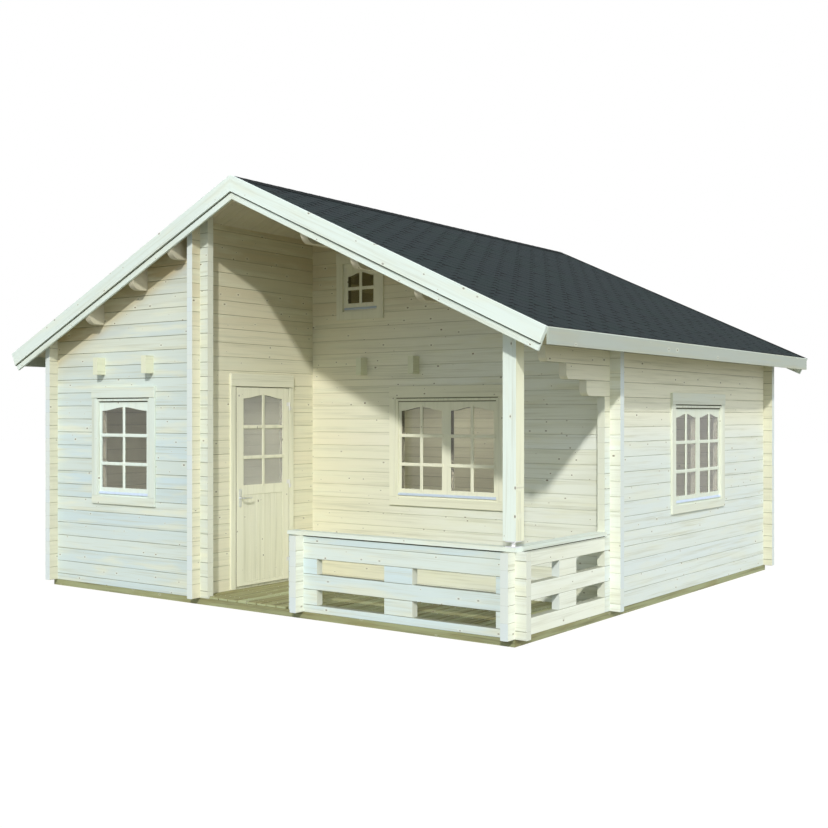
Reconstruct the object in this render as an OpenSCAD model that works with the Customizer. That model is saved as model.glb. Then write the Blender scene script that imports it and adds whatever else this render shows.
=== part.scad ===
// Log cabin with a covered corner terrace: interlocked log walls, a purlin roof,
// windows with glazing frames and one hinged half-glazed door.
// Millimetres, +Z up. The origin is at ground level in the middle of the roof's plan,
// the terrace is at the front (-Y) on the right (+X).

/* [Cabin] */
// Width over the log faces
cabin_w = 5600; // [5000:50:6400]
// Depth over the log faces
cabin_d = 5500; // [4800:50:6400]
// Outer width of the left room, up to the wall with the door
room_w = 2187; // [1900:1:2400]
// Depth of the terrace, up to the recessed wall
terrace_d = 1587; // [1400:1:1900]

/* [Logs] */
// Thickness of a log
log_t = 70; // [58:1:90]
// Height of one course of logs
log_h = 133; // [125:1:140]
// How far the log ends stand out past a crossing
log_end = 100; // [70:5:130]
// Size of the bevel along a log's edges
bevel = 4; // [2:0.5:7]

/* [Base] */
// Height of the impregnated ground beams
beam_h = 60; // [45:5:90]
// Width of a ground beam
beam_w = 60; // [50:1:62]
// Thickness of the floor boards indoors
floor_t = 19; // [16:1:28]
// Thickness of the terrace boards
deck_t = 24; // [20:1:32]

/* [Roof] */
// Pitch of the roof in degrees
pitch = 24.9; // [22:0.1:28]
// Height of the roof boards' underside over the side walls' faces
eaves_z = 2554; // [2460:2:2700]
// Overhang in front of the front log faces
over_front = 225; // [180:5:320]
// Overhang behind the back log faces
over_back = 255; // [180:5:320]
// Overhang past the side walls
over_side = 398; // [300:1:480]
// Thickness of the roof boards
board_t = 19; // [16:1:24]
// Thickness of the shingle covering
shingle_t = 8; // [6:1:12]
// Thickness of the verge and eaves boards
trim_t = 20; // [16:1:26]
// Width of the upper verge board
verge_w = 129; // [110:1:150]
// Width of the lower verge board
verge_low_w = 190; // [170:1:215]
// Depth of the eaves boards
eaves_w = 122; // [95:1:135]
// Reach of the ridge cap down each side
cap_reach = 125; // [100:5:160]
// Thickness of the ridge cap
cap_high = 4; // [3:1:8]

/* [Roof timbers] */
// Width of a purlin
purlin_w = 70; // [58:1:80]
// Depth of a purlin at its middle
purlin_h = 250; // [220:5:280]
// Depth of the ridge beam at its middle
ridge_beam_h = 200; // [160:5:240]
// Clearance of the timbers under the boards and of the ridge cap over the shingles
roof_seat = 0.1; // [0.1:0.1:1]
// Radius of the rounded lower corner at the timbers' ends
purlin_end_r = 90; // [50:5:120]
// Distance of the first purlin from the ridge
purlin_1 = 830; // [790:5:870]
// Distance of the second purlin from the ridge
purlin_2 = 1375; // [1300:5:1450]
// Distance of the third purlin from the ridge
purlin_3 = 2020; // [1950:5:2100]
// Width of a loft joist
joist_w = 64; // [58:1:80]
// Depth of a loft joist
joist_h = 170; // [150:5:190]
// Height of a loft joist's underside
joist_z = 2165; // [2140:5:2200]
// Distances of the loft joists from the middle of the door wall: left room, near and far
joist_left_1 = 640; // [580:2:700]
joist_left_2 = 1356; // [1280:2:1420]
// The same over the main room and terrace, near and far
joist_right_1 = 726; // [660:2:760]
joist_right_2 = 1372; // [1300:2:1430]

/* [Terrace] */
// Thickness of the railing's cap boards
cap_t = 32; // [26:1:40]
// Width of the railing's cap boards
cap_w = 110; // [90:1:130]
// Gap for entering the terrace
entry_w = 1010; // [900:10:1100]
// Side of the square corner post
post_w = 118; // [100:1:125]
// Height of the steel foot under the post
foot_h = 50; // [40:1:60]
// Side and thickness of the foot's two plates
foot_w = 90; // [70:1:98]
foot_t = 8; // [5:1:12]
// Radius of the foot's threaded rod
foot_r = 12; // [8:1:16]
// Length of the spacer blocks in the railing
block_l = 285; // [200:5:340]
// Length of the blocks beside the railing's ends
rail_end = 155; // [100:5:200]
// Middle of the front spacer blocks, from the right log face
block_x = 1107; // [1000:1:1200]
// Middle of the side spacer blocks, from the front log face
block_y = 832; // [780:1:880]
// Where the corbel's lowest, middle and top logs end, from the front log face
corbel_1 = 1155; // [1080:5:1230]
corbel_2 = 802; // [720:2:880]
corbel_3 = 460; // [380:5:540]
// Radius of the corbel logs' rounded corners
corbel_r = 60; // [40:5:66]

/* [Windows] */
// Height of the window openings
win_h = 993; // [940:1:1030]
// Top of the front and terrace window openings above the ground
win_top = 1941; // [1900:1:1960]
// Width of the single window's opening
win_one_w = 791; // [720:1:850]
// Width of a double window's opening
win_two_w = 1198; // [1100:2:1260]
// Centre of the front window, from the left log face
win_front_x = 1109; // [1060:1:1160]
// Centre of the double terrace window, from the right log face
win_terrace_x = 1725; // [1660:1:1760]
// Centre of the double side window, from the front log face
win_side_y = 3537; // [3300:1:3700]
// Width of the small gable window's opening
win_gable_w = 456; // [400:2:500]
// Height of the small gable window's opening
win_gable_h = 504; // [450:2:530]
// Top of the small gable window's opening above the ground
win_gable_top = 3306; // [3260:1:3330]
// How far the small gable window sits to the right of the ridge
win_gable_x = 25; // [0:1:60]
// Depth of a window frame
frame_t = 58; // [50:1:66]
// Visible width of the fixed frame at the sides, foot and head
frame_side = 24; // [18:1:32]
frame_foot = 30; // [22:1:40]
frame_head = 50; // [40:1:60]
// How far the sashes sit behind the log face
sash_set = 3; // [2:1:10]
// Distance from the opening's sides, foot and head to the glass
sash_side = 64; // [54:1:74]
sash_foot = 94; // [80:1:104]
sash_head = 100; // [90:1:118]
// Width of the two meeting stiles of a double window
meeting_w = 104; // [90:1:120]
// Rise of the curve at the top of each light
arch_rise = 36; // [20:1:45]
// Depth from a sash's or leaf's face to the glass
glass_in = 4; // [3:1:10]
// Thickness of the glass
glass_t = 6; // [4:1:10]
// Thickness of the trim boards round the openings
casing_t = 20; // [14:1:24]
// Thickness of the trim board over an opening
head_t = 26; // [24:1:32]
// Width of the trim boards at the sides and foot
casing_w = 80; // [66:1:92]
// Width of the trim board over an opening
head_w = 112; // [90:1:120]
// Overlap of the trim boards on the frames
casing_lap = 8; // [5:1:12]

/* [Door] */
// Width of the door opening in the wall
door_w = 840; // [800:5:880]
// Top of the door opening above the ground
door_top = 2059; // [2010:1:2080]
// Distance of the door opening's middle from the front log face
door_y = 826; // [800:1:870]
// Width of a door frame member
door_frame_w = 44; // [38:1:56]
// Height of the door frame's head
door_head_w = 20; // [18:1:30]
// Depth of the door frame
door_frame_t = 70; // [66:1:80]
// Width of the trim boards round the door
door_casing_w = 67; // [60:1:80]
// Thickness of the door leaf
leaf_t = 42; // [38:1:46]
// Gap all round the door leaf
leaf_gap = 8; // [7:0.5:9]
// Height of the threshold above the ground
sill_top = 102; // [95:1:110]
// Width of the leaf's stiles
stile_w = 92; // [76:1:100]
// Width of the leaf's bottom rail
bottom_rail_w = 35; // [30:1:60]
// Width of the rail between the boards and the glass
lock_rail_w = 94; // [80:1:120]
// Width of the top rail over the glass
top_rail_w = 71; // [60:1:80]
// Height of the glass above the ground
leaf_glass_z = 1084; // [1060:2:1120]
// Depth of the boarded panel's face behind the stiles
panel_step = 8; // [4:1:12]
// Width and clearance of the stop that the closed leaf rests against
stop_w = 16; // [12:1:22]
stop_gap = 6; // [5.5:0.5:9]
// Height of the lever handle above the ground
lever_z = 962; // [940:2:1040]
// Length of a lever
lever_l = 125; // [100:5:140]
// Radius of the lever and its neck
lever_r = 9; // [7:0.5:11]
// How far the lever stands off the leaf
lever_off = 50; // [42:1:60]
// Height, width and thickness of the lever's plate
handle_h = 180; // [150:5:230]
handle_w = 40; // [32:1:50]
handle_t = 4; // [2:0.5:6]
// Radius of the hinge barrels
barrel_r = 7; // [6:0.5:8]
// Length of half a hinge barrel
barrel_h = 40; // [32:1:55]
// Distance of the outer hinges from the leaf's ends
hinge_end = 180; // [140:5:240]
// Reach of a hinge flap from the axis
flap_w = 34; // [24:1:36]
// Thickness of a hinge flap
flap_t = 3; // [2:0.5:4]
// Clearance between fitted pieces
fit_gap = 1; // [0.5:0.5:2]

/* [Hidden] */
pale = "antiquewhite";
tan_p = tan(pitch);
cos_p = cos(pitch);
roof_l = over_front + cabin_d + over_back;
y_front = over_front - roof_l / 2;
y_back = y_front + cabin_d;
x_left = -cabin_w / 2;
x_right = cabin_w / 2;
x_door = x_left + room_w;
y_recess = y_front + terrace_d;
z_log = beam_h;
half = log_h / 2;
quarter = log_h / 4;
roof_half = cabin_w / 2 + over_side;
ridge_z = eaves_z + cabin_w / 2 * tan_p;
cover_top = (board_t + shingle_t) / cos_p;
verge_z = ridge_z + cover_top + 4;
rail_courses = 5;
rail_top = z_log + rail_courses * log_h;
wall_courses = ceil((ridge_z - z_log) / log_h) + 1;
plate_courses = floor((eaves_z - z_log) / log_h) - 1;
corbel_courses = plate_courses - 3;
wall_top = ridge_z + log_h;
floor_joists = 8;

// Underside of the roof boards at a distance from the ridge
function roof_z(d) = ridge_z - abs(d) * tan_p;

// One side of the section of a stack of logs, from the bottom up, as [across, height] points
function log_side(heights, bottom, side, i = 0, z = 0) =
    i >= len(heights) ? [] :
    concat([[side * (log_t / 2 - bevel), bottom + z], [side * log_t / 2, bottom + z + bevel],
            [side * log_t / 2, bottom + z + heights[i] - bevel],
            [side * (log_t / 2 - bevel), bottom + z + heights[i]]],
           log_side(heights, bottom, side, i + 1, z + heights[i]));

function reversed(list) = [for (i = [len(list) - 1 : -1 : 0]) list[i]];

// Section of a stack of logs with the given heights
module log_section(heights, bottom) {
    polygon(concat(log_side(heights, bottom, 1), reversed(log_side(heights, bottom, -1))));
}

// Stack of logs along Y, from y0 to y1, with its middle plane at x
module stack_y(heights, bottom, x, y0, y1) {
    translate([x, y1, 0]) rotate([90, 0, 0]) linear_extrude(y1 - y0) log_section(heights, bottom);
}

// Stack of logs along X, from x0 to x1, with its middle plane at y
module stack_x(heights, bottom, y, x0, x1) {
    translate([x0, y, 0]) rotate([90, 0, 90]) linear_extrude(x1 - x0) log_section(heights, bottom);
}

function full_logs(n) = [for (i = [1 : n]) log_h];
function half_first(n) = concat([half], full_logs(n));

// Block that holds everything below the roof boards
module under_roof() {
    translate([0, roof_l / 2 + 1, 0]) rotate([90, 0, 0]) linear_extrude(roof_l + 2)
        polygon([[-roof_half - 1, -1], [roof_half + 1, -1], [roof_half + 1, roof_z(roof_half + 1)],
                 [0, ridge_z], [-roof_half - 1, roof_z(roof_half + 1)]]);
}

// Slots cut from a wall along Y where a wall along X crosses it
module slots_in_y(x, y, bottom = z_log, count = wall_courses) {
    for (i = [0 : count - 1])
        translate([x - log_t, y - log_t / 2, bottom + i * log_h - quarter])
            cube([2 * log_t, log_t, half]);
}

// Slots cut from a wall along X where a wall along Y crosses it
module slots_in_x(x, y, bottom = z_log, count = wall_courses) {
    for (i = [0 : count - 1])
        translate([x - log_t / 2, y - log_t, bottom + i * log_h + quarter])
            cube([log_t, 2 * log_t, half]);
}

/* Middle planes of the walls */
mid_left = x_left + log_t / 2;
mid_right = x_right - log_t / 2;
mid_door = x_door - log_t / 2;
mid_front = y_front + log_t / 2;
mid_recess = y_recess + log_t / 2;
mid_back = y_back - log_t / 2;

// Flat shape in X and Z, drawn out along Y from y0 to y1
module along_y(y0, y1) {
    translate([0, y1, 0]) rotate([90, 0, 0]) linear_extrude(y1 - y0) children();
}

// Places a window or door, drawn facing -Y, in a wall that faces +X
module facing_right(x, y) {
    translate([x, y, 0]) rotate([0, 0, 90]) children();
}

/* ---- Base and floors ---- */

// Beam along Y under a wall whose middle plane is at x
module beam_y(x, y0, y1) { translate([x - beam_w / 2, y0, 0]) cube([beam_w, y1 - y0, beam_h]); }

// Beam along X under a wall whose middle plane is at y
module beam_x(y, x0, x1) { translate([x0, y - beam_w / 2, 0]) cube([x1 - x0, beam_w, beam_h]); }

module ground_beams() color("darkolivegreen") {
    x0 = mid_left - beam_w / 2;
    x1 = mid_right + beam_w / 2;
    y0 = mid_front - beam_w / 2;
    y1 = mid_back + beam_w / 2;
    for (x = [mid_left, mid_door, mid_right]) beam_y(x, y0, y1);
    for (y = [mid_front, mid_recess, mid_back]) beam_x(y, x0, x1);
    for (i = [1 : floor_joists])
        beam_y(mid_left + i * (mid_right - mid_left) / (floor_joists + 1), y0, y1);
}

module floor() color("burlywood") {
    x0 = x_left + log_t + fit_gap;
    y0 = y_front + log_t + fit_gap;
    y1 = y_recess + log_t + fit_gap;
    y2 = y_back - log_t - fit_gap;
    difference() {
        union() {
            translate([x0, y1, z_log]) cube([cabin_w - 2 * (log_t + fit_gap), y2 - y1, floor_t]);
            translate([x0, y0, z_log]) cube([room_w - 2 * (log_t + fit_gap), y1 - y0, floor_t]);
        }
        floor_notch(mid_door - half_slot, y_recess - 1, 2 * half_slot, log_t + log_end + fit_gap + 1);
        floor_notch(x_door - log_t - log_end - fit_gap, mid_recess - half_slot,
                    log_end + log_t, 2 * half_slot);
    }
}

// Notch in a floor round the end of a wall's logs
half_slot = log_t / 2 + fit_gap;
module floor_notch(x, y, w, d) { translate([x, y, z_log - 1]) cube([w, d, deck_t + floor_t + 2]); }

module terrace_deck() color("darkkhaki") {
    x0 = x_door + fit_gap;
    x1 = x_right - log_t - fit_gap;
    difference() {
        translate([x0, y_front, z_log]) cube([x1 - x0, terrace_d - fit_gap, deck_t]);
        floor_notch(x0 - 1, y_front - 1, log_end + 1, log_t + fit_gap + 1);
        floor_notch(rail_x0 - fit_gap, y_front - 1, cabin_w, log_t + fit_gap + 1);
        floor_notch(mid_stub - half_slot, y_front - 1, 2 * half_slot, log_t + log_end + fit_gap + 1);
    }
}

/* ---- Log walls ---- */

module left_wall() color(pale) {
    intersection() {
        difference() {
            stack_y(full_logs(wall_courses), z_log, mid_left, y_front - log_end, y_back + log_end);
            slots_in_y(mid_left, mid_front);
            slots_in_y(mid_left, mid_back);
        }
        under_roof();
    }
}

module right_wall_stack(from, to, y0) {
    stack_y(full_logs(to - from), z_log + from * log_h, mid_right, y0, y_back + log_end);
}

corbel_y = [corbel_1, corbel_2, corbel_3];

// Log of the corbel with its lower front edge rounded
module corbel_log(i) {
    y0 = y_front + corbel_y[i];
    z0 = z_log + (corbel_courses + i) * log_h;
    difference() {
        right_wall_stack(corbel_courses + i, corbel_courses + i + 1, y0);
        translate([mid_right - log_t, y0, z0]) rotate([0, 90, 0]) linear_extrude(2 * log_t)
            difference() {
                translate([-corbel_r, 0]) square([corbel_r + 1, corbel_r]);
                translate([-corbel_r, corbel_r]) circle(corbel_r, $fn = 48);
            }
    }
}

module right_wall() color(pale) {
    difference() {
        right_wall_stack(0, corbel_courses, y_recess - log_end);
        slots_in_y(mid_right, mid_recess);
        slots_in_y(mid_right, mid_back);
        side_place() opening_cut(win_two_w, win_h);
    }
}

module right_wall_top() color(pale) {
    intersection() {
        difference() {
            union() {
                for (i = [0 : 2]) corbel_log(i);
                right_wall_stack(plate_courses, wall_courses, mid_front + post_w / 2);
            }
            slots_in_y(mid_right, mid_recess);
            slots_in_y(mid_right, mid_back);
            side_place() opening_cut(win_two_w, win_h);
        }
        under_roof();
    }
}

door_y0 = y_front + door_y - door_w / 2;
door_y1 = y_front + door_y + door_w / 2;
module door_wall(y0, y1, z0) color(pale) {
    intersection() {
        difference() {
            stack_y(full_logs(wall_courses), z_log, mid_door, y0, y1);
            slots_in_y(mid_door, mid_front);
            slots_in_y(mid_door, mid_recess);
        }
        under_roof();
        translate([mid_door - log_t, y0 - 1, z0]) cube([2 * log_t, y1 - y0 + 2, wall_top]);
    }
}
module door_wall_front() door_wall(y_front - log_end, door_y0, 0);
module door_wall_back() door_wall(door_y1, y_recess + log_t + log_end, 0);
module door_wall_over() door_wall(door_y0, door_y1, door_top);

joist_x = [mid_door - joist_left_2, mid_door - joist_left_1, mid_door + joist_right_1,
           mid_door + joist_right_2];
joist_y0 = [y_front, y_front, y_recess, y_recess];

// Holes through the walls along X for the joists and roof timbers
module timber_cuts() {
    for (i = [0 : 3]) joist(i);
    for (d = [purlin_1, purlin_2, purlin_3], s = [-1, 1]) timber_cut(s * d, roof_z(d) - purlin_h);
    timber_cut(0, ridge_z - ridge_beam_h);
}

// Slot for a roof timber at x, from its underside up past the roof boards
module timber_cut(x, low) {
    translate([x - purlin_w / 2, -roof_l / 2, low]) cube([purlin_w, roof_l, log_h * 3]);
}

module front_wall() color(pale) {
    intersection() {
        difference() {
            stack_x(half_first(wall_courses), z_log, mid_front, x_left - log_end, x_door + log_end);
            slots_in_x(mid_left, mid_front);
            slots_in_x(mid_door, mid_front);
            timber_cuts();
            front_place() opening_cut(win_one_w, win_h);
        }
        under_roof();
    }
}

module recess_wall() color(pale) {
    intersection() {
        difference() {
            stack_x(half_first(wall_courses), z_log, mid_recess, x_door - log_t - log_end, x_right + log_end);
            slots_in_x(mid_door, mid_recess);
            slots_in_x(mid_right, mid_recess);
            timber_cuts();
            terrace_place() opening_cut(win_two_w, win_h);
            gable_place() opening_cut(win_gable_w, win_gable_h);
        }
        under_roof();
    }
}

module back_wall() color(pale) {
    intersection() {
        difference() {
            stack_x(half_first(wall_courses), z_log, mid_back, x_left - log_end, x_right + log_end);
            slots_in_x(mid_left, mid_back);
            slots_in_x(mid_right, mid_back);
            timber_cuts();
        }
        under_roof();
    }
}

/* ---- Roof ---- */

roof_in = roof_half - trim_t;
roof_y = roof_l / 2 - 2 * trim_t;

// Layer on one side of the roof, between two heights above the boards' underside
module roof_layer(side, low, high) {
    along_y(-roof_y, roof_y)
        polygon([[0, ridge_z + low], [side * roof_in, roof_z(roof_in) + low],
                 [side * roof_in, roof_z(roof_in) + high], [0, ridge_z + high]]);
}
module roof_boards_left() color("wheat") roof_layer(-1, 0, board_t / cos_p);
module roof_boards_right() color("wheat") roof_layer(1, 0, board_t / cos_p);
module shingles_left() color("darkslategray") roof_layer(-1, board_t / cos_p, cover_top);
module shingles_right() color("darkslategray") roof_layer(1, board_t / cos_p, cover_top);

module ridge_cap() color("darkslategray") {
    low = cover_top + roof_seat;
    high = low + cap_high;
    along_y(-roof_y, roof_y)
        polygon([[-cap_reach, roof_z(cap_reach) + low], [0, ridge_z + low],
                 [cap_reach, roof_z(cap_reach) + low], [cap_reach, roof_z(cap_reach) + high],
                 [0, ridge_z + high], [-cap_reach, roof_z(cap_reach) + high]]);
}

// Pair of verge boards of a width across the slope, with ends cut square to it
module verge_pair(w) {
    s = sin(pitch);
    for (side = [-1, 1])
        polygon([[0, verge_z], [side * roof_half, verge_z - roof_half * tan_p],
                 [side * (roof_half - w * s), verge_z - roof_half * tan_p - w * cos_p],
                 [0, verge_z - w / cos_p]]);
}

module verge_front() color("beige") {
    along_y(-roof_l / 2, -roof_l / 2 + trim_t) verge_pair(verge_w);
    along_y(-roof_l / 2 + trim_t, -roof_l / 2 + 2 * trim_t) verge_pair(verge_low_w);
}
module verge_back() color("beige") rotate([0, 0, 180]) verge_front();

module eaves(side) color("beige") {
    top = roof_z(roof_half) + cover_top;
    translate([side > 0 ? roof_in : -roof_half, -roof_y, top - eaves_w])
        cube([trim_t, 2 * roof_y, eaves_w]);
}
module eaves_left() eaves(-1);
module eaves_right() eaves(1);

/* ---- Roof timbers ---- */

// Beam under the roof boards with its lower end corners rounded
module roof_beam(x0, x1, low, tops) {
    difference() {
        along_y(-roof_y, roof_y) polygon(concat([[x0, low], [x1, low]], tops));
        for (s = [-1, 1])
            scale([1, s, 1]) translate([x0 - 1, roof_y - purlin_end_r, low])
                rotate([90, 0, 90]) linear_extrude(x1 - x0 + 2)
                    difference() {
                        translate([0, -1]) square(purlin_end_r + 1);
                        translate([0, purlin_end_r]) circle(purlin_end_r, $fn = 64);
                    }
    }
}

module purlin_bar(x) {
    x0 = x - purlin_w / 2;
    x1 = x + purlin_w / 2;
    roof_beam(x0, x1, roof_z(x) - purlin_h,
              [[x1, roof_z(x1) - roof_seat], [x0, roof_z(x0) - roof_seat]]);
}
module ridge_bar() {
    x1 = purlin_w / 2;
    top = roof_z(x1) - roof_seat;
    roof_beam(-x1, x1, ridge_z - ridge_beam_h, [[x1, top], [0, ridge_z - roof_seat], [-x1, top]]);
}
module ridge_beam() color("wheat") ridge_bar();
module purlins_left() color("wheat") for (d = [purlin_1, purlin_2, purlin_3]) purlin_bar(-d);
module purlins_right() color("wheat") for (d = [purlin_1, purlin_2, purlin_3]) purlin_bar(d);

module joist(i) {
    y0 = joist_y0[i] - log_end;
    translate([joist_x[i] - joist_w / 2, y0, joist_z])
        cube([joist_w, y_back + log_end - y0, joist_h]);
}
module loft_joists() color("wheat") for (i = [0 : 3]) joist(i);

/* ---- Terrace railing and post ---- */

stub_x = x_door + log_end + entry_w + log_end;
mid_stub = stub_x + log_t / 2;
rail_x0 = stub_x - log_end;

module front_railing() color(pale) {
    difference() {
        stack_x(concat(half_first(rail_courses - 1), [half]), z_log, mid_front, rail_x0,
                x_right + log_end);
        for (i = [0, 2]) rail_gaps_x(z_log + half + i * log_h);
        for (x = [mid_stub, mid_right]) slots_in_x(x, mid_front, count = rail_courses);
    }
}

// Gaps either side of the spacer block in one course of the front railing
module rail_gaps_x(z) {
    x0 = stub_x + log_t + rail_end;
    x1 = x_right - log_t - log_end;
    block0 = x_right - block_x - block_l / 2;
    translate([x0, mid_front - log_t, z]) cube([block0 - x0, 2 * log_t, log_h]);
    translate([block0 + block_l, mid_front - log_t, z])
        cube([x1 - block0 - block_l, 2 * log_t, log_h]);
}

rail_y1 = y_recess - log_end;
module side_railing() color(pale) {
    y0 = y_front + log_t + rail_end;
    block0 = y_front + block_y - block_l / 2;
    difference() {
        stack_y(full_logs(rail_courses), z_log, mid_right, y_front - log_end, rail_y1);
        for (i = [1, 3]) translate([mid_right - log_t, 0, z_log + i * log_h]) {
            translate([0, y0, 0]) cube([2 * log_t, block0 - y0, log_h]);
            translate([0, block0 + block_l, 0]) cube([2 * log_t, rail_y1 + 1 - block0 - block_l, log_h]);
        }
        slots_in_y(mid_right, mid_front, count = rail_courses + 1);
    }
}

module railing_stub() color(pale) {
    difference() {
        stack_y(full_logs(rail_courses), z_log, mid_stub, y_front - log_end,
                y_front + log_t + log_end);
        slots_in_y(mid_stub, mid_front, count = rail_courses + 1);
    }
}

module front_cap() color("beige") {
    translate([rail_x0, mid_front - cap_w / 2, rail_top])
        cube([mid_right + cap_w / 2 - rail_x0, cap_w, cap_t]);
}
module side_cap() color("beige") {
    translate([mid_right - cap_w / 2, mid_front + cap_w / 2, rail_top])
        cube([cap_w, rail_y1 - mid_front - cap_w / 2, cap_t]);
}

post_z = rail_top + cap_t + foot_h;
module corner_post() color(pale)
    intersection() {
        translate([mid_right - post_w / 2, mid_front - post_w / 2, post_z])
            cube([post_w, post_w, wall_top - post_z]);
        under_roof();
    }

module post_foot() color("silver") translate([mid_right, mid_front, rail_top + cap_t]) {
    for (z = [0, foot_h - foot_t])
        translate([-foot_w / 2, -foot_w / 2, z]) cube([foot_w, foot_w, foot_t]);
    cylinder(r = foot_r, h = foot_h, $fn = 32);
}

/* ---- Windows: each is drawn facing -Y, its foot at the local origin ---- */

win_z = win_top - win_h;
arch_steps = 24;

// Glazed light with a curve like a flat bell along its top
module light(w, h) {
    polygon(concat([[-w / 2, 0], [w / 2, 0]],
                   [for (i = [0 : arch_steps]) let (u = 1 - 2 * i / arch_steps)
                        [u * w / 2, h - arch_rise * (1 - cos(180 * u)) / 2]]));
}

// The lights of n sashes side by side, with the meeting stiles between two sashes
module lights(w, h, n) {
    middle = n == 1 ? 0 : meeting_w;
    light_w = (w - 2 * sash_side - middle) / n;
    for (i = [0 : n - 1])
        translate([(i - (n - 1) / 2) * (light_w + middle), sash_foot])
            light(light_w, h - sash_foot - sash_head);
}

module opening_cut(w, h) {
    translate([-w / 2, -1, 0]) cube([w, log_t + 2, h]);
}

// Fixed frame with its sashes set back in it
module window(w, h, n) color("ivory") difference() {
    along_y(0, frame_t) difference() {
        translate([-w / 2, 0]) square([w, h]);
        lights(w, h, n);
    }
    along_y(-1, sash_set) translate([-w / 2 + frame_side, frame_foot])
        square([w - 2 * frame_side, h - frame_foot - frame_head]);
}

module glass(w, h, n) color("lightblue", 0.4)
    along_y(sash_set + glass_in, sash_set + glass_in + glass_t) lights(w, h, n);

// Trim boards round an opening, on the log face, with a thicker one over it
module casing(w, h, side_w, foot, lap = casing_lap, top_lap = casing_lap) color("beige") {
    o = side_w - lap;
    low = foot < 0 ? casing_lap : foot - 1;
    difference() {
        union() {
            along_y(-casing_t, 0) translate([-w / 2 - o, foot]) square([w + 2 * o, h - foot]);
            along_y(-head_t, 0) translate([-w / 2 - o, h - top_lap])
                square([w + 2 * o, head_w + top_lap - casing_lap]);
        }
        along_y(-head_t - 1, 1) translate([-w / 2 + lap, low])
            square([w - 2 * lap, h - top_lap - low]);
    }
}
module window_casing(w, h) casing(w, h, casing_w, casing_lap - casing_w);

module front_place() translate([x_left + win_front_x, y_front, win_z]) children();
module terrace_place() translate([x_right - win_terrace_x, y_recess, win_z]) children();
module side_place()
    translate([0, 0, win_z - half]) facing_right(x_right, y_front + win_side_y) children();
module gable_place() translate([win_gable_x, y_recess, win_gable_top - win_gable_h]) children();

module front_window() front_place() window(win_one_w, win_h, 1);
module front_glass() front_place() glass(win_one_w, win_h, 1);
module front_casing() front_place() window_casing(win_one_w, win_h);
module terrace_window() terrace_place() window(win_two_w, win_h, 2);
module terrace_glass() terrace_place() glass(win_two_w, win_h, 2);
module terrace_casing() terrace_place() window_casing(win_two_w, win_h);
module side_window() side_place() window(win_two_w, win_h, 2);
module side_glass() side_place() glass(win_two_w, win_h, 2);
module side_casing() side_place() window_casing(win_two_w, win_h);
module gable_window() gable_place() {
    window(win_gable_w, win_gable_h, 1);
    window_casing(win_gable_w, win_gable_h);
}
module gable_glass() gable_place() glass(win_gable_w, win_gable_h, 1);

/* ---- Door: drawn facing -Y, in the middle of its opening, at the ground ---- */

module door_place() facing_right(x_door, y_front + door_y) children();

// The leaf's face is flush with the trim boards round it
module leaf_place() door_place() translate([0, -casing_t, 0]) children();

clear_w = door_w - 2 * door_frame_w;
leaf_w = clear_w - 2 * leaf_gap;
leaf_z0 = sill_top + leaf_gap;
leaf_z1 = door_top - door_head_w - leaf_gap;
hinge_x = leaf_w / 2 + leaf_gap / 2;
hinge_y = -barrel_r - 1;

module door_frame() color("beige") door_place() {
    difference() {
        along_y(0, door_frame_t)
            translate([-door_w / 2, z_log]) square([door_w, door_top - z_log]);
        along_y(-1, leaf_t + stop_gap - casing_t)
            translate([-clear_w / 2, sill_top])
                square([clear_w, door_top - door_head_w - sill_top]);
        along_y(0, door_frame_t + 1)
            translate([-clear_w / 2 + stop_w, sill_top])
                square([clear_w - 2 * stop_w, door_top - door_head_w - stop_w - sill_top]);
    }
}

module door_casing() door_place()
    casing(door_w, door_top, door_casing_w, z_log + deck_t, door_frame_w - 2, door_head_w - 2);

hinge_z = [leaf_z0 + hinge_end, (leaf_z0 + leaf_z1) / 2, leaf_z1 - hinge_end];

// Half of a hinge: a barrel round the axis, from z0 to z1, and its flap towards one side
module hinge_half(z0, z1, side) {
    translate([hinge_x, hinge_y, z0]) cylinder(r = barrel_r, h = z1 - z0, $fn = 32);
    translate([side > 0 ? hinge_x : hinge_x - flap_w, -flap_t, z0])
        cube([flap_w, flap_t, z1 - z0]);
    translate([side > 0 ? hinge_x : hinge_x - flap_t, hinge_y, z0])
        cube([flap_t, -hinge_y, z1 - z0]);
}
module hinge_pins() color("silver") leaf_place()
    for (z = hinge_z) hinge_half(z - barrel_h, z - 0.5, 1);
module hinge_barrels() color("silver") leaf_place()
    for (z = hinge_z) hinge_half(z + 0.5, z + barrel_h, -1);

glass_w = leaf_w - 2 * stile_w;
glass_top = leaf_z1 - top_rail_w;
module door_light() translate([0, leaf_glass_z]) light(glass_w, glass_top - leaf_glass_z);

module door_leaf() color("ivory") leaf_place() {
    panel_z = leaf_z0 + bottom_rail_w;
    panel_h = leaf_glass_z - lock_rail_w - panel_z;
    difference() {
        along_y(0, leaf_t) translate([-leaf_w / 2, leaf_z0]) square([leaf_w, leaf_z1 - leaf_z0]);
        along_y(-1, leaf_t + 1) door_light();
        for (y = [[-1, panel_step], [leaf_t - panel_step, leaf_t + 1]])
            along_y(y[0], y[1]) translate([-glass_w / 2, panel_z]) square([glass_w, panel_h]);
    }
}
module door_glass() color("lightblue", 0.4)
    leaf_place() along_y(glass_in, glass_in + glass_t) door_light();

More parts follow.
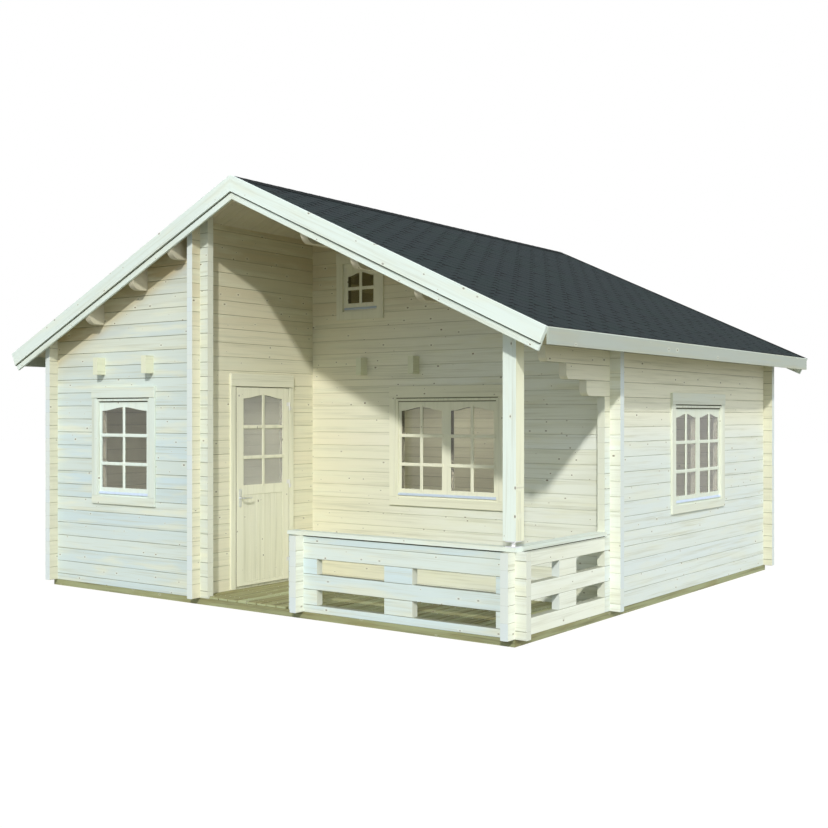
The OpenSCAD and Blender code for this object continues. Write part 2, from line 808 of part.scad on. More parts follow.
// Lever handle with its plate, on both faces of the leaf
module door_lever() color("silver") leaf_place() {
    x = -leaf_w / 2 + stile_w / 2;
    for (face = [0, 1])
        translate([x, face * leaf_t, lever_z]) mirror([0, face, 0]) {
            translate([-handle_w / 2, -handle_t, -handle_h / 2]) cube([handle_w, handle_t, handle_h]);
            rotate([90, 0, 0]) cylinder(r = lever_r, h = lever_off, $fn = 32);
            translate([0, -lever_off, 0]) rotate([0, 90, 0])
                cylinder(r = lever_r, h = lever_l, $fn = 32);
        }
}

ground_beams();
floor();
terrace_deck();
left_wall();
front_wall();
door_wall_front();
door_wall_back();
door_wall_over();
recess_wall();
right_wall();
right_wall_top();
back_wall();
roof_boards_left();
roof_boards_right();
shingles_left();
shingles_right();
ridge_cap();
verge_front();
verge_back();
eaves_left();
eaves_right();
ridge_beam();
purlins_left();
purlins_right();
loft_joists();
front_railing();
side_railing();
railing_stub();
front_cap();
side_cap();
corner_post();
post_foot();
front_window();
front_casing();
front_glass();
terrace_window();
terrace_casing();
terrace_glass();
side_window();
side_casing();
side_glass();
gable_window();
gable_glass();
door_frame();
door_casing();
hinge_pins();
door_leaf();
door_glass();
door_lever();
hinge_barrels();
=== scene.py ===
"""Dresses the log cabin: spruce, shingles, boards, glazing bars, door, stage and lamps."""

import math
import random

import bmesh
import bpy
from bpy.props import FloatProperty, FloatVectorProperty, PointerProperty
from mathutils import Matrix, Vector


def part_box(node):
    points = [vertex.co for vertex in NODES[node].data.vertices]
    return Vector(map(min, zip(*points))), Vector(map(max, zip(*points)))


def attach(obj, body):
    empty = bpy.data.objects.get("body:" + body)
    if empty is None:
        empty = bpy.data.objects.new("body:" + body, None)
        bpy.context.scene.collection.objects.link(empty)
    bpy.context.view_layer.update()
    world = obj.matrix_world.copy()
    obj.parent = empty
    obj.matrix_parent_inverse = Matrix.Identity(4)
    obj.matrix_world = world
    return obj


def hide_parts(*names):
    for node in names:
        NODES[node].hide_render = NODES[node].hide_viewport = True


bl_info = {
    "name": "Log cabin",
    "version": (1, 0, 0),
    "blender": (4, 5, 0),
    "location": "View3D > Sidebar > Cabin",
    "description": "Dresses a log cabin with a covered corner terrace",
    "category": "Add Mesh",
}

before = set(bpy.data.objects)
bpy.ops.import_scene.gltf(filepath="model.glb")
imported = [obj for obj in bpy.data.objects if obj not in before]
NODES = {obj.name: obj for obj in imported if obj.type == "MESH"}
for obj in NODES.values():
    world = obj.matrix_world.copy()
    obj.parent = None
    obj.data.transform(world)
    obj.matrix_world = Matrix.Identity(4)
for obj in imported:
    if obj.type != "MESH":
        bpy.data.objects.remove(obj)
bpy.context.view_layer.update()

# Slope of the roof
PITCH = math.radians(24.9)
COS_P, SIN_P, TAN_P = math.cos(PITCH), math.sin(PITCH), math.tan(PITCH)
# Height of a course of logs, and where the first one starts
LOG_H = 0.133
BEAM_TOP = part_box("ground_beams")[1].z
# Wood between the two panes of a double window
MEETING = 0.104
# Depth of a sash behind the face of the wall, and of its pane behind the sash's face
SASH_SET = 0.003
GLASS_IN = 0.004
# How far a glazing bar runs on over the sash
BAR_LAP = 0.018
# Gap that keeps two pieces from sharing a face
GAP = 0.001
# Felt under the top of the shingle layer, and the fall of a tab from foot to head
FELT_DOWN = 0.0026
TAB_FALL = 0.0022
# Ridge tab: its length, what shows of it, and its thickness
RIDGE_TAB, RIDGE_STEP, RIDGE_T = 0.19, 0.145, 0.0018


def size(name, value, what):
    return FloatProperty(name=name, description=what, default=value, unit="LENGTH")


def colour(name, value, what):
    return FloatVectorProperty(
        name=name, description=what, default=value, size=3, subtype="COLOR", min=0, max=1
    )


class CabinSizes(bpy.types.PropertyGroup):
    """Sizes of the pieces that dress the cabin"""

    tab_w: size("Shingle tab", 0.30, "Width of one shingle tab")
    course: size("Shingle course", 0.0965, "Visible height of one course of shingles")
    tab_flat: size("Shingle flat", 0.066, "Width of the straight end of a shingle tab")
    slot: size("Shingle slot", 0.030, "Gap under the end of a tab, where the felt shows")
    edge_strip: size("Roof edge strip", 0.030, "Black strip along the edges of the roof")
    soffit_w: size("Roof board", 0.095, "Width of a roof board")
    deck_w: size("Deck board", 0.120, "Width of a terrace board")
    deck_gap: size("Deck gap", 0.006, "Gap between terrace boards")
    floor_w: size("Floor board", 0.110, "Width of an indoor floor board")
    bar_w: size("Glazing bar", 0.033, "Width of a glazing bar")
    bar_out: size("Bar thickness", 0.009, "How far a glazing bar stands off the glass")
    bead_w: size("Window bead", 0.022, "Width of the bead between a trim board and a sash")
    verge_w: size("Upper verge board", 0.129, "Width of the upper verge board")
    # Height of the dark strips of painted shade over a window's sash and under the upper verge
    # boards
    shade_strip_h: size("Head seal", 0.010, "Height of the dark seals over a window's sash")
    panel_board: size("Panel board", 0.096, "Width of a board in the door's panel")


class CabinColours(bpy.types.PropertyGroup):
    """Colours of the cabin's finishes"""

    # Lit and shaded copies of one spruce: the outside tone paints bluish skylight, the porch tone
    # paints the porch's warm shade, the porch-end tone paints half shade
    skylit: colour("Spruce outside", (0.600, 0.722, 0.758), "Planed spruce in the open")
    porch_shaded: colour("Spruce in the porch", (0.81, 0.77, 0.585), "Planed spruce under cover")
    half_lit: colour("Spruce at the post", (0.85, 0.88, 0.785), "Spruce at the porch's open end")
    # Painted light: the right wall gets a lighter tone for the extra light on that side
    side: colour("Spruce, right side", (0.740, 0.810, 0.795), "Planed spruce of the right wall")
    rear: colour("Spruce, left and back", (0.76, 0.80, 0.73), "Planed spruce of those walls")
    # Painted shade: the sides of the log ends and the inner faces, which are turned away from the
    # open
    stub: colour("Spruce, wall ends", (0.68, 0.66, 0.515), "Sides of the log ends and indoors")
    cream: colour("Spruce, cream", (0.80, 0.80, 0.62), "Warmer boards of the spruce")
    grain: colour("Spruce, grain", (0.50, 0.50, 0.36), "Darker grain of the spruce")
    sawn: colour("Spruce, sawn", (0.70, 0.77, 0.78), "Sawn ends of the logs")
    # Lit and shaded copies of the same planed boards: the tones in the open paint bluish skylight,
    # the one under cover paints the porch's warm shade
    trim: colour("Trim", (0.80, 0.89, 0.83), "Planed trim boards in the open")
    trim_shaded: colour("Trim in the porch", (0.84, 0.83, 0.66), "Planed trim boards under cover")
    casing: colour("Window trim", (0.70, 0.78, 0.72), "Planed trim round a window in the open")
    timber: colour("Roof timber", (0.62, 0.57, 0.43), "Roof boards and timbers")
    knot: colour("Knot", (0.16, 0.11, 0.06), "Knots in the spruce")
    green: colour("Impregnated", (0.46, 0.50, 0.285), "Pressure-treated softwood")
    shingle: colour("Shingle", (0.0225, 0.0310, 0.0335), "Slate-grey bitumen shingles")
    zinc: colour("Zinc", (0.80, 0.80, 0.76), "Zinc-plated hinges and screws")
    steel: colour("Steel", (0.82, 0.84, 0.87), "Satin steel")
    # Painted reflection: the drip strip's pale blue stands in for the sky it reflects
    drip: colour("Drip strip", (0.62, 0.72, 0.88), "Aluminium drip strip under a sash")


def sizes():
    return bpy.context.scene.cabin_sizes


def colours():
    return bpy.context.scene.cabin_colours


# ---- Meshes ----


def prism(bm, outline, place, near, far):
    """Closed prism: the outline's points (u, v), carried from near to far."""
    a = [bm.verts.new(place(u, v, near)) for u, v in outline]
    b = [bm.verts.new(place(u, v, far)) for u, v in outline]
    faces = [bm.faces.new(a), bm.faces.new(b[::-1])]
    for i in range(len(a)):
        j = (i + 1) % len(a)
        faces.append(bm.faces.new((a[i], b[i], b[j], a[j])))
    return faces


def circle(r, count, u=0.0, v=0.0):
    """Points of a circle round (u, v)."""
    turns = [2 * math.pi * i / count for i in range(count)]
    return [(u + r * math.cos(t), v + r * math.sin(t)) for t in turns]


def block(bm, low, high, edge):
    """Board with chamfered edges between two corners."""
    made = bmesh.ops.create_cube(bm, size=1.0)["verts"]
    low, high = Vector(low), Vector(high)
    span = high - low
    for v in made:
        v.co = Vector(low[i] + (v.co[i] + 0.5) * span[i] for i in range(3))
    edges = list({e for v in made for e in v.link_edges})
    bmesh.ops.bevel(bm, geom=edges, offset=edge, segments=1, affect="EDGES", clamp_overlap=True)


def board_run(bm, x0, x1, y0, y1, z0, z1, pitch, gap, edge):
    """Boards along Y, side by side from x0 to x1."""
    n = max(1, round((x1 - x0) / pitch))
    step = (x1 - x0) / n
    for i in range(n):
        block(bm, (x0 + i * step + gap / 2, y0, z0), (x0 + (i + 1) * step - gap / 2, y1, z1), edge)


def clip(outline, axis, limit, keep_above):
    """Part of a convex outline on one side of a line."""
    sign = 1 if keep_above else -1
    kept = []
    for i, p in enumerate(outline):
        q = outline[(i + 1) % len(outline)]
        dp, dq = sign * (p[axis] - limit), sign * (q[axis] - limit)
        if dp >= 0:
            kept.append(p)
        if dp * dq < 0:
            t = dp / (dp - dq)
            kept.append((p[0] + (q[0] - p[0]) * t, p[1] + (q[1] - p[1]) * t))
    return kept


def wall_place(x, y, z, facing):
    """Maps (across, up, inward) of a wall's opening to the cabin's axes."""
    if facing == "front":
        return lambda u, v, w: (x + u, y + w, z + v)
    return lambda u, v, w: (x - w, y + u, z + v)


def finish_piece(name, bm, finishes, body="cabin", stands_for=(), smooth=False):
    """Turns the mesh into a named piece, of the finishes named, that rides on a body."""
    bmesh.ops.recalc_face_normals(bm, faces=bm.faces)
    if smooth:
        for f in bm.faces:
            f.smooth = True
        for e in bm.edges:
            e.smooth = len(e.link_faces) == 2 and e.calc_face_angle() < math.radians(35)
    mesh = bpy.data.meshes.new(name)
    bm.to_mesh(mesh)
    bm.free()
    for each in finishes.split():
        mesh.materials.append(finish(each))
    piece = bpy.data.objects.new(name, mesh)
    bpy.context.scene.collection.objects.link(piece)
    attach(piece, body)
    if stands_for:
        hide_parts(*stands_for)


# ---- Materials ----


class Nodes:
    """Small helper that builds one node tree."""

    def __init__(self, tree):
        self.tree = tree
        tree.nodes.clear()

    def link(self, a, b):
        self.tree.links.new(a, b)

    def put(self, socket, value):
        if isinstance(value, bpy.types.NodeSocket):
            self.link(value, socket)
        else:
            socket.default_value = value

    def new(self, kind, *values):
        """Adds a node and fills its first inputs."""
        n = self.tree.nodes.new("ShaderNode" + kind)
        for socket, value in zip(n.inputs, values):
            self.put(socket, value)
        return n

    def math(self, op, a, b=0.0, c=0.0):
        n = self.new("Math", a, b, c)
        n.operation = op
        return n.outputs[0]

    def times(self, a, b):
        return self.math("MULTIPLY", a, b)

    def plus(self, a, b):
        return self.math("ADD", a, b)

    def minus(self, a, b):
        return self.math("SUBTRACT", a, b)

    def absolute(self, a):
        return self.math("ABSOLUTE", a)

    def blend(self, factor, a, b):
        """Mix of two shaders."""
        return self.new("MixShader", factor, a, b).outputs[0]

    def seen(self):
        """1 where something is seen directly, in gloss or through glass, and 0 for its light."""
        rays = self.new("LightPath").outputs
        seen = self.math("MAXIMUM", rays["Is Camera Ray"], rays["Is Glossy Ray"])
        return self.math("MAXIMUM", seen, rays["Is Transmission Ray"])


class Finish(Nodes):
    """Builds one material's nodes."""

    def __init__(self, name):
        self.material = bpy.data.materials.new(name)
        self.material.use_nodes = True
        super().__init__(self.material.node_tree)
        self.out = self.new("OutputMaterial")
        self.shader = self.new("BsdfPrincipled")
        self.link(self.shader.outputs[0], self.out.inputs[0])

    def mix(self, factor, a, b):
        n = self.new("Mix", factor)
        n.data_type = "RGBA"
        for i, v in ((6, a), (7, b)):
            self.put(n.inputs[i], (*v, 1) if isinstance(v, tuple) else v)
        return n.outputs[2]

    def step(self, value, low, high, to_low=0.0, to_high=1.0):
        n = self.new("MapRange", value, low, high, to_low, to_high)
        n.interpolation_type = "SMOOTHSTEP"
        return n.outputs[0]

    def vector(self, x, y, z=0.0):
        return self.new("CombineXYZ", x, y, z).outputs[0]

    def split(self, vector):
        return self.new("SeparateXYZ", vector).outputs

    def noise(self, vector, scale, detail, rough):
        n = self.new("TexNoise", vector)
        for key, value in (("Scale", scale), ("Detail", detail), ("Roughness", rough)):
            n.inputs[key].default_value = value
        return n.outputs["Fac"]

    def chance(self, value):
        n = self.new("TexWhiteNoise")
        n.noise_dimensions = "1D"
        self.put(n.inputs["W"], value)
        return n.outputs["Value"]

    def cells(self, vector):
        n = self.new("TexVoronoi", vector)
        n.voronoi_dimensions = "2D"
        n.inputs["Scale"].default_value = 1.0
        return n.outputs["Distance"], n.outputs["Color"]

    def coords(self):
        n = self.new("TexCoord")
        return n.outputs["Object"], n.outputs["Normal"]

    def bump(self, height, depth, strength):
        n = self.new("Bump", strength, depth)
        self.link(height, n.inputs["Height"])
        self.link(n.outputs[0], self.shader.inputs["Normal"])

    def surface(self, **values):
        for name, value in values.items():
            self.put(self.shader.inputs[name.replace("_", " ")], value)


def shade(c, k):
    return tuple(v * k for v in c)


def board_axes(f, along, across):
    """Coordinates of a board by name, how its faces look, its two cross axes, its sawn ends."""
    point, normal = f.coords()
    p, n = f.split(point), f.split(normal)
    side = f.absolute(p[0])
    axis = {"x": p[0], "y": p[1], "z": p[2], "roof": f.math("MULTIPLY_ADD", side, TAN_P, p[2])}
    facing = {"x": n[0], "y": n[1], "z": n[2]}
    end = 0.0
    if along == "slope":
        axis["slope"] = f.minus(f.times(side, COS_P), f.times(p[2], SIN_P))
        axis["width"] = f.plus(f.times(side, SIN_P), f.times(p[2], COS_P))
        across, depth = ("width", "y") if across == "z" else ("y", "width")
    elif along == "round":
        turned = f.math("GREATER_THAN", f.absolute(n[0]), 0.5)
        kept = f.minus(1.0, turned)
        for key, v, w in (("round", p[0], p[1]), ("through", p[1], p[0])):
            axis[key] = f.plus(f.times(v, kept), f.times(w, turned))
        depth = "through"
    else:
        depth = next(k for k in "xyz" if k not in (along, across))
        end = f.step(f.absolute(facing[along]), 0.75, 0.9)
    return axis, facing, across, depth, end


def knot_masks(f, a, c, share):
    """Dark cores and pale rings of the knots, one in some cells of a loose grid."""
    cell, squeeze = 0.19, 0.62
    smallest, spread = 0.0045, 0.0100
    spot, tint = f.cells(f.vector(f.math("DIVIDE", a, cell), f.math("DIVIDE", c, cell * squeeze)))
    luck = f.split(tint)
    has = f.math("LESS_THAN", luck[0], share)
    radius = f.math("MULTIPLY_ADD", luck[1], spread, smallest)
    ratio = f.math("DIVIDE", f.times(spot, cell), radius)
    strong = f.times(has, f.math("MULTIPLY_ADD", luck[2], 0.5, 0.5))
    core, ring = (1.2, 0.5), (3.4, 1.1)
    return [f.times(f.step(ratio, *edge), strong) for edge in (core, ring)]


def year_rings(f, place, board, d, luck, pitch):
    """Rings of the tree on a board's sawn end."""
    heart, density = 0.35, 1500
    up = f.times(f.minus(f.minus(place, board), heart), pitch)
    out = f.plus(d, f.times(luck, 0.05))
    far = f.math("SQRT", f.plus(f.times(up, up), f.times(out, out)))
    return f.step(f.math("SINE", f.times(far, density)), -0.6, 1.0, 0.0, 0.16)


def seam_mask(f, place, board, a, pitch, seam):
    """Dark joint between two boards, of a width that changes along them."""
    edge = f.absolute(f.minus(place, f.math("ROUND", place)))
    worn = f.step(f.noise(f.vector(f.times(a, 2.4), board), 1.0, 2, 0.6), 0.3, 0.7, 0.45, 1.2)
    return f.step(f.times(edge, pitch), f.times(worn, seam), f.times(worn, seam * 0.35))


def wood(name, along, tone, warm, pitch, origin=0.0, across="z", knots=0.24, seam=0.0, seed=0.0,
         mottle=1.0, line=0.8, painted_side_light=None, tone_ramps=(), ends=None, deep=None, streak=0.62,
         painted_reveal_shade=None):
    """Planed softwood: boards of a width across, grain along, knots, rings on the end grain.

    The side tone is (axis, way, tone): faces that don't look that way take the other tone, which
    paints how the light falls on their side.
    The ramps are a row of (axis, start, stop, tone): the wood turns to that tone along the axis;
    most of them paint shade.
    ends is the tone of the sawn ends, deep that of the dark grain, and streak its strength.
    The reveal tone is (axis, near, far, tone): painted shade in the opening between the two
    depths.
    """
    f = Finish(name)
    deep = deep or tuple(colours().grain)
    ends = ends or (tuple(colours().sawn) if seam else tone)
    axis, facing, across, depth, end = board_axes(f, along, across)
    a, c, d = axis[along], axis[across], axis[depth]
    place = f.math("DIVIDE", f.minus(c, origin), pitch)
    board = f.math("FLOOR", place)
    # Two chances for each board, and grain that starts elsewhere on each
    luck = f.chance(f.plus(board, seed + 3.7))
    luck2 = f.chance(f.plus(board, seed + 71.3))
    a = f.plus(a, f.times(luck, 9.7))
    core, halo = knot_masks(f, a, c, knots)
    bent = f.math("MULTIPLY_ADD", halo, 0.014, c)

    def streaks(lane, length, fineness, detail, rough):
        point = f.vector(f.times(a, length), f.times(lane, fineness), f.times(d, fineness))
        return f.noise(point, 1.0, detail, rough)

    fine = streaks(bent, 2.2, 120, 4, 0.6)
    broad = streaks(bent, 0.8, 26, 3, 0.55)
    patch = streaks(c, 1.5, 9.0, 3, 0.55)
    grain = f.plus(f.times(fine, 0.45), f.times(broad, 0.75))
    # Faces turned the other way take a tone that paints how the light falls on their side
    if painted_side_light:
        way = f.times(facing[painted_side_light[0]], painted_side_light[1])
        tone = f.mix(f.step(way, 0.3, 0.6), painted_side_light[2], tone)
    # Tone ramps along an axis: most paint shade near the roof and eaves, one paints half light at
    # the porch's open end
    for key, start, stop, other in tone_ramps:
        tone = f.mix(f.step(axis[key], start, stop), tone, other)
    for share, other in (
            (f.times(luck2, 0.40 * mottle), warm),
            (f.step(patch, 0.46, 0.72, 0.0, 0.55 * mottle), warm),
            (f.step(grain, 0.56, 0.88, 0.0, streak), deep),
            (f.times(luck, 0.13 * mottle), deep),
            (f.times(halo, 0.30), (0.86, 0.87, 0.72)),
            (f.times(core, 0.92), tuple(colours().knot))):
        tone = f.mix(share, tone, other)
    if along not in ("slope", "round"):
        sawn = f.mix(year_rings(f, place, board, d, luck, pitch), ends, deep)
        tone = f.mix(end, tone, f.mix(f.times(luck, 0.3), sawn, warm))
    if seam:
        joint = seam_mask(f, place, board, a, pitch, seam)
        hold = f.math("MULTIPLY_ADD", end, -0.75 * line, line)
        tone = f.mix(f.times(joint, hold), tone, (0.13, 0.13, 0.06))
    # Painted shade behind the pane, which keeps the reveal seen through the glass dark
    if painted_reveal_shade:
        key, near, far, dark = painted_reveal_shade
        way = 1 if far > near else -1
        inside = f.times(f.step(axis[key], near, near + way * 0.0015),
                         f.step(axis[key], far - way * 0.0005, far - way * 0.003))
        tone = f.mix(inside, tone, dark)
    f.surface(Base_Color=tone, Roughness=f.step(grain, 0.3, 0.9, 0.52, 0.72),
              Specular_IOR_Level=0.35)
    f.bump(f.minus(f.times(fine, 0.7), f.times(core, 0.5)), 0.0009, 0.35)
    return f.material


def bitumen(name, base):
    """Granulated bitumen, a little uneven in tone."""
    f = Finish(name)
    point, _ = f.coords()
    grit = f.noise(point, 900, 2, 0.7)
    cloud = f.noise(point, 1.6, 3, 0.5)
    tone = f.mix(f.step(grit, 0.35, 0.7), shade(base, 0.62), shade(base, 1.5))
    tone = f.mix(f.step(cloud, 0.4, 0.66, 0.0, 0.35), tone,
                 (base[0] * 0.85, base[1] * 1.1, base[2] * 0.9))
    f.surface(Base_Color=tone, Roughness=f.step(grit, 0.3, 0.7, 0.82, 0.97),
              Specular_IOR_Level=0.10)
    f.bump(grit, 0.0012, 0.6)
    return f.material


def metal(name, tone, rough, metallic=1.0):
    """Brushed metal with fine smudges."""
    f = Finish(name)
    point, _ = f.coords()
    x, y, z = f.split(point)
    brushed = f.noise(f.vector(f.times(x, 900), f.times(y, 900), f.times(z, 60)), 1.0, 2, 0.6)
    smudge = f.noise(point, 30, 3, 0.5)
    base = f.mix(f.step(smudge, 0.4, 0.75, 0.0, 0.25), tone, shade(tone, 0.72))
    f.surface(Base_Color=base, Roughness=f.step(brushed, 0.2, 0.8, rough * 0.75, rough * 1.3),
              Metallic=metallic)
    f.bump(brushed, 0.0002, 0.25)
    return f.material


def glazing(name, haze=0.0, tint=(0.94, 0.94, 0.92)):
    """Clear pane, or one with a haze on it, that lets the lamps light the room behind it."""
    f = Finish(name)
    point, _ = f.coords()
    film = f.noise(point, 3.0, 2, 0.5)
    f.surface(Base_Color=f.mix(f.step(film, 0.3, 0.7), shade(tint, 0.94), tint),
              Roughness=0.0, IOR=1.45, Transmission_Weight=1.0 - haze)
    shadow = f.new("LightPath").outputs["Is Shadow Ray"]
    clear = f.new("BsdfTransparent", (0.92, 0.94, 0.94, 1))
    f.link(f.blend(shadow, f.shader.outputs[0], clear.outputs[0]), f.out.inputs[0])
    return f.material


def woods():
    """What wood() is told for each wooden finish."""
    c, s = colours(), sizes()
    out, porch_shaded, half_lit, side, rear, stub, cream = map(
        tuple, (c.skylit, c.porch_shaded, c.half_lit, c.side, c.rear, c.stub, c.cream))
    trim, trim_shaded, casing, timber, green = map(
        tuple, (c.trim, c.trim_shaded, c.casing, c.timber, c.green))
    tan, moss = shade(timber, 0.74), (green[0] * 0.62, green[1] * 0.52, green[2] * 0.38)
    wet = (0.10, 0.085, 0.035)
    # Painted shade: the tone under the eaves, and a darker, warmer one high under the roof
    eaves_shade, roof_shade = (0.87, 0.845, 0.67), (0.60, 0.51, 0.325)
    # The second tone here paints the shade behind each pane
    side_casing, seal = (0.76, 0.80, 0.70), (0.26, 0.24, 0.18)
    corner = [v.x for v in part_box("door_wall_front")]
    rail = [v.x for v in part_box("side_railing")]

    # Courses of logs: those along X lie half a course higher than those along Y
    log = dict(warm=cream, pitch=LOG_H, seam=0.0036, knots=0.32)
    log_x = dict(log, along="x", origin=BEAM_TOP + LOG_H / 2, mottle=1.15)
    log_y = dict(log, along="y", origin=BEAM_TOP, mottle=0.6, line=0.62)
    # Single boards, wider than any trim, so that no joint shows
    board_x = dict(along="x", warm=cream, pitch=0.4, origin=0.03, knots=0.3)
    board_y = dict(board_x, along="y")
    upright = dict(along="z", across="x", warm=cream, pitch=0.35, origin=0.11, knots=0.3)
    upright_y = dict(upright, across="y")
    beam = dict(along="y", across="x", warm=tan, pitch=0.6)

    def sash(tone, node, glass, facing, knots, seed):
        """Wood of a frame round a pane, with painted shade behind the pane."""
        low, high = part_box(node)
        pane, pane_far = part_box(glass)
        front = facing == "front"
        line = ("y", pane.y, high.y) if front else ("x", pane_far.x, low.x)
        return dict(upright if front else upright_y, tone=tone, knots=knots, seed=seed,
                    streak=0.25, mottle=0.4, painted_reveal_shade=(*line, seal))

    return {
        # The front wall's bluish tone paints skylight; its ramps paint shade higher up and under
        # the verge, and turn it warmer over the door wall's width
        "front_logs": dict(log_x, tone=out, seed=11, line=0.85, knots=0.42, painted_side_light=("y", -1, stub),
                           ends=(0.755, 0.775, 0.665),
                           tone_ramps=(("z", 1.8, 2.9, (0.635, 0.70, 0.66)),
                                 ("roof", 3.25, 3.5, (0.60, 0.645, 0.60)),
                                 ("roof", 3.46, 3.62, (0.53, 0.43, 0.24)),
                                 ("x", *corner, (0.665, 0.715, 0.65)))),
        "back_logs": dict(log_x, tone=rear, seed=12, painted_side_light=("y", 1, stub)),
        "left_logs": dict(log_y, tone=rear, seed=47, painted_side_light=("x", -1, stub)),
        # The right wall's tone paints the extra light on that side, and its ramp paints the shade
        # under the eaves
        "right_logs": dict(log_y, tone=side, seed=49, painted_side_light=("x", 1, stub),
                           ends=(0.75, 0.775, 0.66), tone_ramps=(("z", 1.25, 1.95, eaves_shade),)),
        # Railing tones paint light: skylight on the front one, half shade on the side one; the
        # front one turns warmer over the side railing's width
        "rail_x": dict(log_x, tone=shade(out, 1.08), seed=13, ends=(0.75, 0.775, 0.68),
                       tone_ramps=(("x", *rail, (0.76, 0.80, 0.74)),)),
        "rail_y": dict(log_y, tone=shade(half_lit, 1.04), seed=53),
        "eaves_logs": dict(log_y, tone=eaves_shade, seed=49, ends=(0.80, 0.79, 0.66)),
        # Porch walls: their tone paints the porch's warm shade, and their ramps paint half light
        # towards the open end and deeper shade high under the roof
        "recess_logs": dict(log_x, tone=porch_shaded, seed=19, line=0.34, knots=0.44,
                            tone_ramps=(("x", -0.6, 1.9, (0.865, 0.90, 0.825)),
                                  ("z", 2.3, 3.5, roof_shade))),
        "door_logs": dict(log_y, tone=porch_shaded, seed=51, line=0.5, knots=0.44, mottle=1.0,
                          tone_ramps=(("z", 2.2, 3.5, roof_shade),)),
        "trim_x": dict(board_x, tone=trim, knots=0.14, seed=5),
        "trim_y": dict(board_y, tone=trim, knots=0.14, seed=9),
        # The post's faces that don't look to the front are painted warmer, for how the light falls
        # on them
        "post": dict(upright, tone=trim, knots=0.5, seed=15, mottle=0.4,
                     painted_side_light=("y", -1, (0.90, 0.90, 0.68))),
        "sash_z": sash(shade(casing, 1.10), "front_window", "front_glass", "front", 0.1, 17),
        "sash_zy": sash((0.74, 0.79, 0.68), "side_window", "side_glass", "right", 0.1, 18),
        "terrace_sash": sash(trim_shaded, "terrace_window", "terrace_glass", "front", 0.1, 19),
        # The gable sash is painted darker, for the deeper shade up under the verge
        "gable_sash": sash(shade(trim_shaded, 0.90), "gable_window", "gable_glass", "front", 0.1, 20),
        "leaf": sash(trim_shaded, "door_leaf", "door_glass", "right", 0.2, 37),
        "frame_x": dict(board_x, tone=casing, seed=5),
        "frame_y": dict(board_y, tone=side_casing, seed=8),
        "frame_z": dict(upright, tone=casing, seed=16, mottle=0.6),
        "frame_zy": dict(upright_y, tone=side_casing, seed=25, mottle=0.6),
        # The eaves boards' dark tone is painted shade, as on a board tilted away from the sun
        "eaves": dict(board_y, tone=(0.43, 0.47, 0.415), warm=shade(cream, 0.54), pitch=0.5,
                      knots=0.14, seed=29, mottle=0.7),
        "casing_x": dict(board_x, tone=trim_shaded, seed=6),
        "casing_y": dict(board_y, tone=trim_shaded, seed=7),
        "casing_z": dict(upright, tone=trim_shaded, seed=35),
        "casing_zy": dict(upright_y, tone=trim_shaded, seed=36),
        "panel": dict(upright_y, tone=shade(trim_shaded, 0.97), pitch=0.0915, origin=0.0, seed=38),
        "verge": dict(along="slope", tone=trim, warm=cream, pitch=5.0, knots=0.34, seed=33,
                      mottle=0.6, streak=0.4, tone_ramps=(("x", 0.15, -0.7, shade(trim, 0.91)),)),
        "timber_y": dict(beam, tone=timber, seed=21),
        "joist": dict(beam, tone=(0.74, 0.76, 0.57), warm=cream, seed=22),
        "soffit": dict(along="slope", across="y", tone=timber, warm=tan, pitch=s.soffit_w,
                       origin=-2.95, knots=0.3, seed=27, mottle=0.2, streak=0.4),
        "deck": dict(beam, tone=green, warm=moss, pitch=s.deck_w, knots=0.4, seed=61, mottle=1.8,
                     deep=wet, streak=0.9),
        "beams": dict(along="round", tone=(0.46, 0.53, 0.32), warm=moss, pitch=0.5, knots=0.4,
                      seed=63, mottle=1.4, deep=wet, streak=0.8),
        "floor": dict(beam, tone=timber, pitch=s.floor_w, knots=0.35, seed=67),
    }


def other_finish(name):
    """Bitumen, strips of painted shade, metals and panes."""
    c = colours()
    shingle = tuple(c.shingle)
    maker, *values = {
        "shingle": (bitumen, shingle),
        "felt": (bitumen, (0.006, 0.007, 0.008)),
        # The ridge tabs are darker than the shingles: painted shade along the ridge
        "ridge": (bitumen, shade(shingle, 0.4)),
        # Dark strips whose colour paints shade in joints and under edges; those in the porch are
        # lighter, for the softer shade there
        "seal": (bitumen, (0.085, 0.085, 0.055)),
        "seal_in": (bitumen, (0.25, 0.24, 0.17)),
        "zinc": (metal, tuple(c.zinc), 0.45, 0.35),
        "steel": (metal, tuple(c.steel), 0.34),
        # The drip strip's blue is a painted reflection of the sky
        "drip": (metal, tuple(c.drip), 0.42, 0.45),
        "glass": (glazing,),
        # The gable pane's dark tint paints the shade of the unlit loft behind it
        "gable_pane": (glazing, 0.0, (0.70, 0.68, 0.50)),
        "door_pane": (glazing, 0.16),
    }[name]
    return maker(name, *values)


_made = {}


def finish(name):
    """The material of that name, made when it is first asked for."""
    if name not in _made:
        plan = woods()
        _made[name] = wood(name, **plan[name]) if name in plan else other_finish(name)
    return _made[name]


